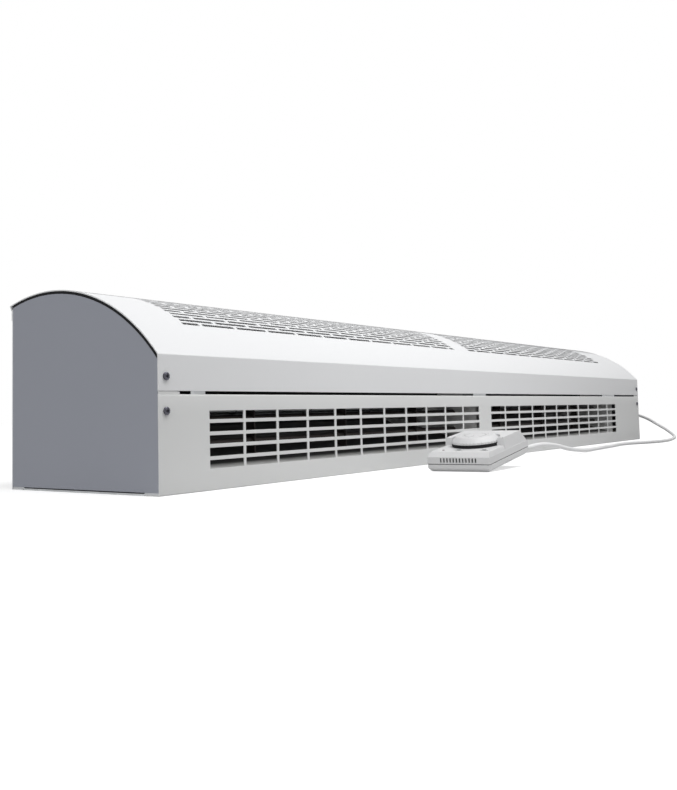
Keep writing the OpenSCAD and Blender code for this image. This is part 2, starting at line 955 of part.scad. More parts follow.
module switch_blocks() {
    color("dimgray")
        at_remote()
            for (y = knob_y)
                box([knob_x - 5, y - 6, board_z + 1.6], [knob_x + 5, y + 6, remote_ledge - 4.3]);
}

module remote_lamp() {
    color("orangered")
        at_remote()
            translate([knob_x, lamp_y, board_z + 1.6]) {
                cylinder(r = 1.6, h = remote_ledge - board_z - 1.2);
                cylinder(r = 2.6, h = 6);
            }
}

module remote_board() {
    color("seagreen")
        at_remote() {
            box([4, -33, board_z], [98, 33, board_z + 1.6]);
            for (x = [10, 92], y = [-28, 28])
                translate([x, y, case_t])
                    cylinder(r = 3, h = board_z - case_t + 0.1);
        }
}

// strain relief under the cable end; the remote stands on it
module remote_gland() {
    slope = tan(remote_tilt);
    drop = 0.2;
    color("whitesmoke")
        at_remote()
            difference() {
                translate([0, gland_side + 9, 0])
                    rotate([90, 0, 0])
                        linear_extrude(18)
                            polygon([[gland_x[0], 0], [gland_x[0], drop - gland_x[0] * slope],
                                     [gland_x[1], drop - gland_x[1] * slope], [gland_x[1], -1], [gland_x[1] - 3, 0]]);
                translate([gland_x[1] - 12, gland_side, -cord_drop])
                    rotate([0, 90, 0])
                        cylinder(r = cord_r + 0.3, h = 13);
            }
}

module remote_cord() {
    spans = len(cord_points) - 1;
    path = concat([for (i = [0 : spans - 1], k = [0 : cord_steps - 1]) smooth(cord_points, i, k / cord_steps)],
                  [cord_points[spans]]);
    rings = len(path);
    last = rings - 1;
    points = [for (i = [0 : last])
        let (t = unit(path[min(last, i + 1)] - path[max(0, i - 1)]),
             side = unit(cross([0, 0, 1], t)),
             up = cross(t, side))
            for (k = [0 : cord_sides - 1])
                let (a = (k + 0.5) * 360 / cord_sides)
                    path[i] + cord_r * (cos(a) * side + sin(a) * up)];
    walls = [for (i = [0 : last - 1], k = [0 : cord_sides - 1])
        let (a = i * cord_sides + k, b = i * cord_sides + (k + 1) % cord_sides)
            each [[a, a + cord_sides, b], [b, a + cord_sides, b + cord_sides]]];
    ends = [[for (k = [0 : cord_sides - 1]) k],
            [for (k = [cord_sides - 1 : -1 : 0]) last * cord_sides + k]];
    color("whitesmoke")
        polyhedron(points = points, faces = concat(walls, ends), convexity = 8);
}

wall_plate();
rear_panel();
end_panel_left();
end_panel_right();
top_cover();
front_panel();
gasket_left();
gasket_right();
catch_left();
catch_mid();
catch_right();
front_screws();
rear_screws();
bulkhead_left();
bulkhead_mid_left();
bulkhead_mid_right();
bulkhead_right();
scroll_left();
scroll_right();
tongue_left();
tongue_right();
heater_left();
heater_right();
heater_brackets();
impeller_left();
impeller_right();
shaft_left();
shaft_mid();
motor_shaft();
coupling();
bearing_left();
bearing_mid();
motor_rotor();
motor_can();
motor_bell_inner();
motor_bell_outer();
motor_bracket();
motor_capacitor();
terminal_block();
control_board();
relays();
board_posts();
thermal_cutout();
mains_grommet();
cord_gland();
remote_base();
remote_cover();
temperature_dial();
thermostat();
fan_switch();
heat_switch();
switch_blocks();
remote_lamp();
remote_board();
remote_gland();
remote_cord();
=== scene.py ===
"""Looks of a heated air curtain with a wired remote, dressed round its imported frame.

The casing lies on its wall face. X runs along it, -Y is the outlet side and +Z is up.
Sizes are in metres, and names in DEG in degrees. Each operator makes one group of pieces.
"""

import json
import math

import bmesh
import bpy
import numpy as np
from mathutils import Matrix, Vector


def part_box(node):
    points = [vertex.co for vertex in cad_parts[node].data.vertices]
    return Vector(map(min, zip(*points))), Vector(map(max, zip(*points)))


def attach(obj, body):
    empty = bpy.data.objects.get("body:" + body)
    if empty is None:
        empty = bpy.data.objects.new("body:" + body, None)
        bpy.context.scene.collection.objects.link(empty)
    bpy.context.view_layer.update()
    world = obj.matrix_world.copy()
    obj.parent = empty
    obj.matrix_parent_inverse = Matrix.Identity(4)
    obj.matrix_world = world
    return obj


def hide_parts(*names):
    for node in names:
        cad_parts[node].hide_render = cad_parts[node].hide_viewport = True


bl_info = {
    "name": "Air Curtain Looks",
    "version": (1, 0, 0),
    "blender": (4, 5, 0),
    "location": "View3D > Sidebar > Air Curtain",
    "description": "Finishes, cable and small details of an air curtain",
    "category": "Object",
}

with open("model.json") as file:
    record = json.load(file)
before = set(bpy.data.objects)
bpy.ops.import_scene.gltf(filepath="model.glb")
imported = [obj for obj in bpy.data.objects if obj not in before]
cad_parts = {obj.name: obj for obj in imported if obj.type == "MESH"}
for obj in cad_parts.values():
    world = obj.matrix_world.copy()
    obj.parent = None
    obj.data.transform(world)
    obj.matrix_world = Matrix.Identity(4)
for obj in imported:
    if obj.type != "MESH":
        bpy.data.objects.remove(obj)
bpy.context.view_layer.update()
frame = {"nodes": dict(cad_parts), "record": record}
NODES = frame["nodes"]
BODIES = frame["record"]["behaviour"]["bodies"]
BODY_OF = {node: body for body, names in BODIES.items() for node in names}

# the camera, solved from the photograph's straight edges and its grid of openings
PHOTO_W, PHOTO_H = 677, 790
FOCAL_PX = 900.0
CENTRE_PX = (315.57, 347.24)
CAMERA_AT = (-1.353164, -0.744288, 0.074592)
CAMERA_RIGHT = (0.59265984, -0.80510718, -0.02359538)
CAMERA_UP = (-0.04575377, -0.06289886, 0.99697057)
CAMERA_AHEAD = (0.80415229, 0.58978484, 0.07411432)
SENSOR_MM, NEAREST_SEEN = 36.0, 0.02

# the lights: name, place, aim, width and height, and share of the key light's power
LIGHTS = (
    ("key_light", (-0.2, -0.85, 2.0), (-0.15, -0.05, 0.0), (2.4, 0.9), 1.0),
    ("side_light", (-2.6, -0.2, 0.9), (-0.6, -0.1, 0.08), (1.6, 1.6), 0.42),
    ("fill_light", (-0.30, -0.75, 0.34), (-0.15, 0.0, 0.07), (0.6, 0.6), 0.014),
)

# the floor: half its side, the oval that its tones follow, as a scale and a shift of the
# place, and two ramps over the distance in that oval: near, far, value near, value far
FLOOR_REACH = 14.0
OVAL_SCALE, OVAL_SHIFT = (0.8, 1.0, 1.0), (0.2, 0.0, 0.0)
GLOW_RAMP = (0.30, 0.75, 0.60, 1.0)
TONE_RAMP = (0.28, 0.8, 1.22, 0.50)

# the white coat's painted dark rim, a painted reflection of a dim room: the facing where it starts
# and is full, and its share there
RIM_RAMP = (0.93, 0.995, 0.0, 0.85)
# the first colour paints the dark reflection at the white coat's rim
PAINTED_RIM_SHADE, PALE_ROOM, WHITE = (0.06, 0.06, 0.065, 1.0), (0.96, 0.98, 1.0, 1.0), (1, 1, 1, 1)
# the duct's painted shade over Y, from its mouth inwards
DUCT_SHADE_RAMP = (-0.104, -0.092, 1.0, 0.04)

# the angle past which an edge is sharp and within which faces are one, on new pieces and
# on CAD nodes, and how near points are merged
SHARP_DEG, SKIN_SHARP_DEG, FLAT_DEG = 35, 28, 0.4
NEW_MERGE, SKIN_MERGE = 1e-7, 2e-6

SHEET_T = 0.0012

# the arched cover's profile in Y and Z, from the front strip to the drip edge
ARCH_AT, ARCH_R = (0.052, -0.0061), 0.2192
FOLD_AT, FOLD_R = (-0.1132, 0.13522), 0.0018
FOLD_DEG, TIP_DEG = 139.45, 72.01
STRIP_Z, LIP_Z = 0.1005, 0.186
# the inner skin's last two points on the arch, before the tip, and the height of the
# outer and inner bend over the drip edge's end
TIP_BACK_DEG, LIP_RISE = (0.46, 0.42), (0.010, 0.0104)
# its slots
SLOT_DEG, SLOT_STEP_DEG, SLOT_ROWS = 125.1, 2.05, 24
SLOT_H, SLOT_PITCH, SLOT_WEB = 0.0045, 0.0563, 0.005
INLETS = ((-0.676, -0.067), (-0.016, 0.612))

# the front panel, its bends' outer and inner radius, and where its top flange is cut away
HALF_L, HALF_D, FRONT_H = 0.75, 0.115, 0.0972
BEND_OUT, BEND_IN = 0.0015, 0.0003
FOOT_Y, FLANGE_Y, FLANGE_X = -0.096, 0.0075 - HALF_D, 0.7215
# its windows
WINDOWS_X = (-0.6797, -0.0244)
OPENING_ROWS, OPENING_COLUMNS = 5, 11
OPENING_W, OPENING_H, FIRST_TOP = 0.0525, 0.0087, 0.08065
COLUMN_PITCH, ROW_PITCH = 0.056, 0.0125
# the tabs that show in the slot over it: profile, step to the inner skin, lines across
TAB_PROFILE = ((0.0003 - HALF_D, 0.0966), (0.0003 - HALF_D, 0.0998), (0.0010 - HALF_D, 0.1003))
TAB_STEP, TAB_X, TAB_GAP = (0.0006, -0.0002), (0.0, 0.0140, 0.0283), 0.0002

# the pan-head screws, and the cross in their heads
HEAD_R, HEAD_T, HEAD_RIM_T = 0.004, 0.0024, 0.0003
SEAT_SHARE, DOME_DROP, NO_R = 0.97, 0.72, 0.00001
SHANK_R, SHANK_L, POINT_L = 0.00195, 0.0078, 0.0008
CROSS_L, CROSS_END_L, CROSS_HALF_W, CROSS_T = 0.0024, 0.0008, 0.00055, 0.0013
REAR_SCREWS = 6

# how far the edges of some CAD nodes are rounded
GASKET_EDGE, DIAL_EDGE, SWITCH_EDGE, LAMP_EDGE, GLAND_EDGE = 0.0004, 0.0003, 0.0004, 0.0003, 0.0006

# the remote's own frame: X to its cable end, Z up out of its face
REMOTE_AT = (-0.3535, -0.2266, 0.0)
REMOTE_TILT = math.radians(7.4)
REMOTE_YAW = math.radians(2.5)
# the painted shadow line in its seam, a black band
SEAM_X, SEAM_Z = (-0.00372, 0.12552), (0.00935, 0.01005)
SEAM_HALF_W, SEAM_CORNER_R, SEAM_INSET = 0.04112, 0.0004, 0.006
# the painted shade behind its vents, a black plate
VENT_SHADE_Y, VENT_SHADE_Z = (-0.027, 0.025), (0.0114, 0.0176)
VENT_SHADE_X, VENT_SHADE_BOW, VENT_SHADE_T = -0.0018, 0.0004, 0.0006
# the painted shadow under the dial, a black collar, as radius and height
DIAL_SHADOW_PROFILE = ((0.0305, 0.0239), (0.0305, 0.0277), (0.0300, 0.0281), (0.0284, 0.0281),
                (0.0278, 0.0278), (0.0278, 0.0239))
# the dial and its print: a tick has its inner radius and half its width
DIAL_X, DIAL_FACE = 0.054, 0.0366
DIAL_START_DEG, DIAL_TURN_DEG, TICK_DEG, NUMBER_DEG = 45, 270, 15, 45
LONG_TICK, SHORT_TICK, TICK_R = (0.0200, 0.00025), (0.0212, 0.00018), 0.0227
NUMBER_R, NUMBER_H, NUMBER_STEP = 0.0174, 0.0034, 5
INK_LIFT = 0.00003
# the marks by the switches, on the ledge
LEDGE_Z, MARKS_Y = 0.024, (0.006, -0.028)
MARK_X, MARK_HALF_W, MARK_PITCH = (0.0175, 0.0195), 0.0004, 0.0045
MARK_GROWTH = 0.0007

# the cable's route from the remote to the gland in the end panel
CORD_ROUTE = (
    (-0.2413, -0.2107, 0.0086), (-0.2141, -0.2095, 0.0121), (-0.178, -0.2105, 0.016),
    (-0.136, -0.217, 0.0189), (-0.088, -0.2235, 0.0223), (-0.038, -0.226, 0.0186),
    (0.01, -0.2255, 0.012), (0.06, -0.221, 0.008), (0.113, -0.213, 0.005),
    (0.168, -0.205, 0.0035), (0.225, -0.199, 0.0033), (0.285, -0.195, 0.0033),
    (0.345, -0.19, 0.0033), (0.402, -0.1845, 0.0033), (0.453, -0.191, 0.0033),
    (0.5, -0.208, 0.0033), (0.548, -0.217, 0.0033), (0.6, -0.217, 0.0033),
    (0.655, -0.209, 0.0033), (0.71, -0.199, 0.0033), (0.765, -0.187, 0.0036),
    (0.818, -0.172, 0.0055), (0.864, -0.153, 0.011), (0.891, -0.1315, 0.021),
    (0.8955, -0.1115, 0.0325), (0.887, -0.0955, 0.044), (0.864, -0.0805, 0.0535),
    (0.832, -0.067, 0.0593), (0.798, -0.0575, 0.0608), (0.764, -0.055, 0.0605),
)
CORD_STEPS, CORD_SIDES = 8, 20
# its sleeves; the remote's wall is at the fifth smoothed point of the route
RELIEF_L, RELIEF_RINGS, RELIEF_SIDES, REMOTE_WALL = 0.028, 113, 40, 4
RELIEF_T, RELIEF_TAPER, RELIEF_LIP_T = 0.0021, 0.0016, 0.0001
GROOVES, GROOVE_T, GROOVE_FADE, GROOVES_FROM, GROOVES_SPAN = 5, 0.0007, 0.6, 0.12, 0.8


# ------------------------------ settings


class CasingLooks(bpy.types.PropertyGroup):
    """Colours and edge sizes of the sheet metal."""

    cover_colour: bpy.props.FloatVectorProperty(
        name="Cover", description="Powder coat of the arched cover", subtype="COLOR",
        size=4, min=0.0, max=1.0, default=(0.885, 0.89, 0.90, 1.0))
    front_colour: bpy.props.FloatVectorProperty(
        name="Front panel", description="Powder coat of the outlet panel", subtype="COLOR",
        size=4, min=0.0, max=1.0, default=(0.80, 0.805, 0.80, 1.0))
    end_colour: bpy.props.FloatVectorProperty(
        name="End panels", description="Powder coat of the end panels", subtype="COLOR",
        size=4, min=0.0, max=1.0, default=(0.33, 0.345, 0.395, 1.0))
    sheet_edge: bpy.props.FloatProperty(
        name="Sheet edge", description="Rounding of a cut sheet edge", subtype="DISTANCE",
        default=0.00025, min=0.0, max=0.0005)


class RemoteLooks(bpy.types.PropertyGroup):
    """Colours and edge sizes of the remote and its cable."""

    case_colour: bpy.props.FloatVectorProperty(
        name="Case", description="Moulded case of the remote", subtype="COLOR",
        size=4, min=0.0, max=1.0, default=(0.68, 0.68, 0.685, 1.0))
    cord_colour: bpy.props.FloatVectorProperty(
        name="Cable", description="Sheath of the remote's cable", subtype="COLOR",
        size=4, min=0.0, max=1.0, default=(0.87, 0.87, 0.875, 1.0))
    cord_diameter: bpy.props.FloatProperty(
        name="Cable diameter", description="Outer diameter of the cable", subtype="DISTANCE",
        default=0.0065, min=0.006, max=0.0066)
    case_edge: bpy.props.FloatProperty(
        name="Case edge", description="Rounding of the moulded edges", subtype="DISTANCE",
        default=0.0009, min=0.0, max=0.0015)


class StageLooks(bpy.types.PropertyGroup):
    """Floor and light of the picture."""

    floor_colour: bpy.props.FloatVectorProperty(
        name="Floor", description="Pale floor under the object", subtype="COLOR",
        size=4, min=0.0, max=1.0, default=(0.50, 0.50, 0.50, 1.0))
    key_power: bpy.props.FloatProperty(
        name="Key light", description="Power of the light overhead, in watts",
        default=39.0, min=0.0, max=400.0)
    sky_level: bpy.props.FloatProperty(
        name="Room light", description="Brightness of the room all round",
        default=0.10, min=0.0, max=1.0)


# ------------------------------ meshes


def at_remote():
    """The remote's place: its own frame tilted up at the cable end, turned, then set down."""
    return (Matrix.Translation(REMOTE_AT) @ Matrix.Rotation(REMOTE_YAW, 4, "Z")
            @ Matrix.Rotation(-REMOTE_TILT, 4, "Y"))


def turn_round(sides):
    """Angles of a full turn, without the last, which is the first again."""
    return np.linspace(0, 2 * np.pi, sides, endpoint=False)


def grid_faces(rows, cols, close_rows=False, close_cols=False):
    """Quads of a rows by cols grid of points, joined round where a direction closes."""
    r = np.arange(rows if close_rows else rows - 1)
    c = np.arange(cols if close_cols else cols - 1)
    r, c = np.meshgrid(r, c, indexing="ij")
    a = r * cols + c
    b = r * cols + (c + 1) % cols
    d = ((r + 1) % rows) * cols + c
    e = ((r + 1) % rows) * cols + (c + 1) % cols
    return np.stack([a, b, e, d], -1).reshape(-1, 4)


def tube_faces(rings, sides):
    """Quads round a tube, and one flat face over each end."""
    last = (rings - 1) * sides
    faces = grid_faces(rings, sides, close_cols=True).tolist()
    return faces + [list(range(sides)), list(range(last, last + sides))]


def show(name, mesh, material, body):
    """A piece that shows a mesh in one material and rides on its body."""
    mesh.materials.clear()
    mesh.materials.append(material)
    piece = bpy.data.objects.new(name, mesh)
    bpy.context.scene.collection.objects.link(piece)
    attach(piece, body)
    return piece


def new_mesh(name, points, faces, body, material, place=None, smooth=True):
    """A new piece from points and faces, its place in its mesh."""
    mesh = bpy.data.meshes.new(name)
    mesh.from_pydata(points.tolist(), [], faces if isinstance(faces, list) else faces.tolist())
    if place is not None:
        mesh.transform(place)
    bm = bmesh.new()
    bm.from_mesh(mesh)
    bmesh.ops.remove_doubles(bm, verts=bm.verts, dist=NEW_MERGE)
    bmesh.ops.recalc_face_normals(bm, faces=bm.faces)
    bm.to_mesh(mesh)
    bm.free()
    mesh.polygons.foreach_set("use_smooth", [smooth] * len(mesh.polygons))
    if smooth:
        mesh.set_sharp_from_angle(angle=math.radians(SHARP_DEG))
    return show(name, mesh, material, body)


def soften(piece, width, segments=2):
    """Rounds the sharp edges of a piece."""
    bevel = piece.modifiers.new("edge", "BEVEL")
    bevel.width = width
    bevel.segments = segments
    bevel.limit_method = "ANGLE"
    bevel.angle_limit = math.radians(SHARP_DEG)
    bevel.use_clamp_overlap = True
    bevel.harden_normals = True


def dress(node, material, edge=0.0, segments=2):
    """Shows a CAD node through a merged copy: flat faces whole again, and edges rounded."""
    mesh = NODES[node].data.copy()
    mesh.name = node + "_skin"
    bm = bmesh.new()
    bm.from_mesh(mesh)
    bmesh.ops.remove_doubles(bm, verts=bm.verts, dist=SKIN_MERGE)
    bmesh.ops.dissolve_limit(bm, angle_limit=math.radians(FLAT_DEG), verts=bm.verts,
                             edges=bm.edges, delimit={"NORMAL"})
    bm.to_mesh(mesh)
    bm.free()
    mesh.polygons.foreach_set("use_smooth", [True] * len(mesh.polygons))
    mesh.set_sharp_from_angle(angle=math.radians(SKIN_SHARP_DEG))
    piece = show(node + "_skin", mesh, material, BODY_OF[node])
    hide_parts(node)
    if edge > 0:
        soften(piece, edge, segments)


def bars(start, end, half):
    """The four corners of flat bars in turn, as places along and across each bar.

    A bar runs from start to end, and half its width either side.
    """
    along = np.stack(np.broadcast_arrays(start, end, end, start), -1)
    return along, half[..., None] * np.array([-1, -1, 1, 1])


def revolved(profile, turn):
    """A profile turned round Z: its radius times cosine and sine of the turn, its height."""
    radius, height = np.array(profile).T[:, :, None]
    return np.stack([radius * np.cos(turn), radius * np.sin(turn), height + 0 * turn], -1)


def arc_at(centre, radius, degrees):
    """Points round a centre at the given angles: centre plus radius times cosine and sine."""
    a = np.radians(degrees)
    return np.stack([centre[0] + radius * np.cos(a), centre[1] + radius * np.sin(a)], -1)


def arc(centre, radius, start_deg, end_deg, count):
    """Points round a centre at angles that run evenly from start to end."""
    return arc_at(centre, radius, np.linspace(start_deg, end_deg, count))


def pierced_sheet(name, xs, outer, inner, is_open, body, material):
    """Sheet metal with openings.

    Point (i, j) of a skin is xs[i] along the casing and point j of that skin's profile in
    Y and Z. Cells marked open are left out of both skins, and a wall joins the skins
    wherever a cell of sheet meets air.
    """
    nx, nj = len(xs), len(outer)
    skins = [np.concatenate([np.repeat(xs, nj)[:, None], np.tile(profile, (nx, 1))], 1)
             for profile in (outer, inner)]
    at = np.arange(nx * nj).reshape(nx, nj)
    under = at + nx * nj
    solid = ~is_open
    quads = np.stack([at[:-1, :-1], at[1:, :-1], at[1:, 1:], at[:-1, 1:]], -1)[solid]
    edge_x = np.diff(np.pad(solid, ((1, 1), (0, 0))).astype(int), axis=0) != 0
    edge_j = np.diff(np.pad(solid, ((0, 0), (1, 1))).astype(int), axis=1) != 0
    walls_x = np.stack([at[:, :-1], at[:, 1:], under[:, 1:], under[:, :-1]], -1)[edge_x]
    walls_j = np.stack([at[:-1, :], at[1:, :], under[1:, :], under[:-1, :]], -1)[edge_j]
    faces = np.vstack([quads, quads[:, ::-1] + nx * nj, walls_x, walls_j])
    return new_mesh(name, np.vstack(skins), faces, body, material)


def smooth_path(points, per_span):
    """Points of a Catmull-Rom curve through a list.

    Each span is a cubic whose slope at a point is half the step between the neighbours.
    """
    p = np.asarray(points, float)
    q = np.vstack([p[:1], p, p[-1:]])
    u = (np.arange(per_span) / per_span)[None, :, None]
    a, b, c, d = (q[i:len(p) - 1 + i, None, :] for i in range(4))
    curve = 0.5 * (2 * b + (c - a) * u + (2 * a - 5 * b + 4 * c - d) * u**2
                   + (3 * b - a - 3 * c + d) * u**3)
    return np.vstack([curve.reshape(-1, 3), p[-1:]])


def tube(path, radius, sides):
    """Rings of points round a path.

    Each is the path's point plus radius times the cosine of the angle along the level side
    direction, and the sine along the one square to it.
    """
    tangent = np.gradient(path, axis=0)
    tangent /= np.linalg.norm(tangent, axis=1, keepdims=True)
    side = np.cross(np.array([0.0, 0.0, 1.0]), tangent)
    side /= np.linalg.norm(side, axis=1, keepdims=True)
    up = np.cross(tangent, side)
    angle = turn_round(sides)[None, :, None]
    rings = path[:, None, :] + radius * (np.cos(angle) * side[:, None, :]
                                         + np.sin(angle) * up[:, None, :])
    return rings.reshape(-1, 3)


# ------------------------------ shader nodes


def add(tree, kind, *in_order, operation=None, **by_name):
    """A node whose inputs take sockets or values, in order or by their names."""
    made = tree.nodes.new(kind)
    if operation:
        made.operation = operation
    for key, value in (*enumerate(in_order), *by_name.items()):
        if isinstance(value, bpy.types.NodeSocket):
            tree.links.new(value, made.inputs[key])
        else:
            made.inputs[key].default_value = value
    return made


def maths(tree, operation, a, b):
    """A Math node between two sockets or numbers."""
    return add(tree, "ShaderNodeMath", a, b, operation=operation).outputs[0]


def plus_share(tree, base, extra, share):
    """A value plus a share of another one."""
    return maths(tree, "ADD", base, maths(tree, "MULTIPLY", extra, share))


def ramp(tree, value, limits):
    """A value that runs from the third to the fourth limit between the first and second."""
    return add(tree, "ShaderNodeMapRange", value, *limits).outputs[0]


def scaled(tree, colour, level):
    """A colour times a value."""
    return add(tree, "ShaderNodeVectorMath", colour, operation="SCALE", Scale=level).outputs[0]


def mottled(tree, colour, factor, amount):
    """The colour made lighter and darker by a factor round one half."""
    shift = maths(tree, "MULTIPLY", maths(tree, "SUBTRACT", factor, 0.5), amount)
    return scaled(tree, colour, maths(tree, "ADD", shift, 1.0))


def coordinate(tree, vector, axis):
    """One coordinate of a vector."""
    return add(tree, "ShaderNodeSeparateXYZ", vector).outputs[axis]


def object_place(tree):
    """Object coordinates."""
    return add(tree, "ShaderNodeTexCoord").outputs["Object"]


def scaled_noise(tree, vector, scale, detail=3.0, stretch=(1, 1, 1)):
    """A noise value over Object coordinates, stretched along the axes."""
    placed = add(tree, "ShaderNodeMapping", vector, Scale=stretch).outputs[0]
    return add(tree, "ShaderNodeTexNoise", placed, Scale=scale, Detail=detail).outputs["Fac"]


# ------------------------------ finishes


def powder_coat(tree, given, where):
    """Orange peel from two noises, cloudy tone, and dust that dulls what faces up."""
    peel = scaled_noise(tree, where, given["Grain"], detail=2.0)
    speck = scaled_noise(tree, where, 2600.0, detail=1.0)
    cloud = scaled_noise(tree, where, 7.0, detail=4.0)
    colour = mottled(tree, given["Colour"], cloud, given["Variation"])
    normal = add(tree, "ShaderNodeNewGeometry").outputs["Normal"]
    upward = maths(tree, "MAXIMUM", coordinate(tree, normal, "Z"), 0.0)
    dust = maths(tree, "MULTIPLY", upward, cloud)
    rough = plus_share(tree, given["Roughness"], dust, 0.10)
    return (mottled(tree, colour, speck, 0.03), plus_share(tree, rough, peel, 0.05),
            plus_share(tree, peel, speck, 0.25))


def duct_coat_and_painted_shade(tree, given, where):
    """Powder coat with painted shade: light at the duct's mouth and near black 12 mm of Y further
    in.
    """
    colour, rough, height = powder_coat(tree, given, where)
    shade = ramp(tree, coordinate(tree, where, "Y"), DUCT_SHADE_RAMP)
    return scaled(tree, colour, shade), rough, height


def galvanised(tree, given, where):
    """Zinc spangle: flat crystals of uneven tone, with fine rolling lines."""
    cells = add(tree, "ShaderNodeTexVoronoi", where, Scale=given["Grain"])
    tone = add(tree, "ShaderNodeSeparateColor", cells.outputs["Color"])
    lines = scaled_noise(tree, where, 60.0, stretch=(1, 40, 40))
    colour = mottled(tree, given["Colour"], tone.outputs[0], given["Variation"])
    return (mottled(tree, colour, lines, 0.06),
            plus_share(tree, given["Roughness"], tone.outputs[1], 0.16),
            plus_share(tree, lines, tone.outputs[2], 0.5))


def turned_metal(tree, given, where):
    """Bar and casting: fine grain packed along X, with light stains."""
    lines = scaled_noise(tree, where, given["Grain"], detail=4.0, stretch=(12, 1, 1))
    stain = scaled_noise(tree, where, 35.0, detail=4.0)
    colour = mottled(tree, given["Colour"], stain, given["Variation"])
    return (mottled(tree, colour, lines, 0.10),
            plus_share(tree, given["Roughness"], lines, 0.15), lines)


def moulded(tree, given, where):
    """Spark-eroded plastic: fine cells in the height, a faint cloud, smears in the gloss."""
    cells = add(tree, "ShaderNodeTexVoronoi", where, Scale=given["Grain"])
    cloud = scaled_noise(tree, where, 28.0, detail=4.0)
    smear = scaled_noise(tree, where, 55.0, stretch=(1, 2.5, 1))
    return (mottled(tree, given["Colour"], cloud, given["Variation"]),
            plus_share(tree, given["Roughness"], smear, 0.14), cells.outputs["Distance"])


# every finish: its recipe, its colour unless a setting gives it, its roughness, and what
# differs from the usual values
USUAL = dict(metallic=0.0, grain=900.0, variation=0.05, bump=0.05, depth=0.0002, coat=0.0,
             specular=0.5)
FINISHES = {
    "white_coat": dict(
        recipe=powder_coat, rough=0.40, grain=700, variation=0.02, bump=0.10, depth=0.0001),
    "grey_coat": dict(
        recipe=powder_coat, rough=0.42, grain=700, variation=0.03, bump=0.10, depth=0.0001),
    "end_coat": dict(recipe=powder_coat, rough=0.46, grain=700, bump=0.12, depth=0.0001),
    "bulkhead_coat": dict(
        recipe=powder_coat, colour=(0.80, 0.80, 0.79), rough=0.45, grain=700, variation=0.04),
    # the duct's coat, with shade painted darker further in
    "duct_coat_and_painted_shade": dict(
        recipe=duct_coat_and_painted_shade, colour=(0.80, 0.80, 0.79), rough=0.5, grain=700, specular=0.25),
    "motor_enamel": dict(recipe=powder_coat, colour=(0.045, 0.05, 0.06), rough=0.4, grain=500),
    "galvanised_sheet": dict(
        recipe=galvanised, colour=(0.42, 0.43, 0.44), rough=0.40, metallic=0.9, grain=90,
        variation=0.22, bump=0.06),
    # the screws' plating, its colour darkened as a painted reflection of dim surroundings
    "screw_plating_and_painted_shade": dict(
        recipe=turned_metal, colour=(0.075, 0.075, 0.09), rough=0.12, metallic=1.0, grain=500,
        variation=0.12),
    "fan_sheet": dict(
        recipe=turned_metal, colour=(0.045, 0.045, 0.05), rough=0.5, metallic=0.3, grain=160,
        variation=0.2),
    "element_sheath": dict(
        recipe=turned_metal, colour=(0.07, 0.06, 0.058), rough=0.5, metallic=0.8, grain=200,
        variation=0.35),
    "ground_bar": dict(
        recipe=turned_metal, colour=(0.52, 0.52, 0.54), rough=0.25, metallic=1.0, grain=260),
    "cast_alloy": dict(
        recipe=turned_metal, colour=(0.42, 0.43, 0.44), rough=0.48, metallic=0.9, grain=90,
        variation=0.15, bump=0.2),
    "rubber_strip": dict(
        recipe=moulded, colour=(0.006, 0.006, 0.007), rough=0.7, grain=1400, bump=0.2,
        specular=0.15),
    "ivory_moulding": dict(recipe=moulded, colour=(0.62, 0.56, 0.44), rough=0.5),
    "white_moulding": dict(recipe=moulded, colour=(0.74, 0.74, 0.73), rough=0.45),
    "black_moulding": dict(recipe=moulded, colour=(0.02, 0.02, 0.022), rough=0.45, grain=1100),
    "board_lacquer": dict(
        recipe=moulded, colour=(0.02, 0.11, 0.05), rough=0.25, grain=300, coat=0.4),
    "case_moulding": dict(recipe=moulded, rough=0.40, grain=1300, variation=0.03, bump=0.12),
    "cable_sheath": dict(recipe=moulded, rough=0.42, grain=1800, bump=0.10),
    "knob_moulding": dict(recipe=moulded, colour=(0.42, 0.43, 0.44), rough=0.42, grain=1300),
    # a matt black for pieces that paint shade on the remote
    "painted_shade_black": dict(
        recipe=moulded, colour=(0.012, 0.012, 0.013), rough=0.7, grain=1200, specular=0.2),
    "lamp_lens": dict(recipe=moulded, colour=(0.07, 0.012, 0.012), rough=0.18, grain=400, coat=0.5),
    "printed_ink": dict(recipe=moulded, colour=(0.34, 0.34, 0.35), rough=0.5),
}
# the inner CAD nodes by finish, with the rounding of their edges, or None for the sheets'
INNER_PARTS = (
    ("galvanised_sheet", None, ("motor_bracket",)),
    ("duct_coat_and_painted_shade", None, ("scroll_left", "scroll_right", "tongue_left", "tongue_right")),
    ("bulkhead_coat", None, (
        "bulkhead_left", "bulkhead_mid_left", "bulkhead_mid_right", "bulkhead_right")),
    ("element_sheath", 0.0, ("heater_left", "heater_right", "heater_brackets")),
    ("fan_sheet", 0.0, ("impeller_left", "impeller_right")),
    ("ground_bar", 0.0003, ("shaft_left", "shaft_mid", "motor_shaft")),
    ("cast_alloy", 0.0008, (
        "bearing_left", "bearing_mid", "motor_bell_inner", "motor_bell_outer")),
    ("motor_enamel", 0.0005, ("motor_can", "motor_rotor")),
    ("ivory_moulding", 0.0005, ("terminal_block", "thermostat")),
    ("white_moulding", 0.0005, ("motor_capacitor", "board_posts")),
    ("black_moulding", 0.0004, ("relays", "switch_blocks", "thermal_cutout")),
    ("rubber_strip", 0.0005, ("coupling", "mains_grommet")),
    ("board_lacquer", 0.0, ("control_board", "remote_board")),
)


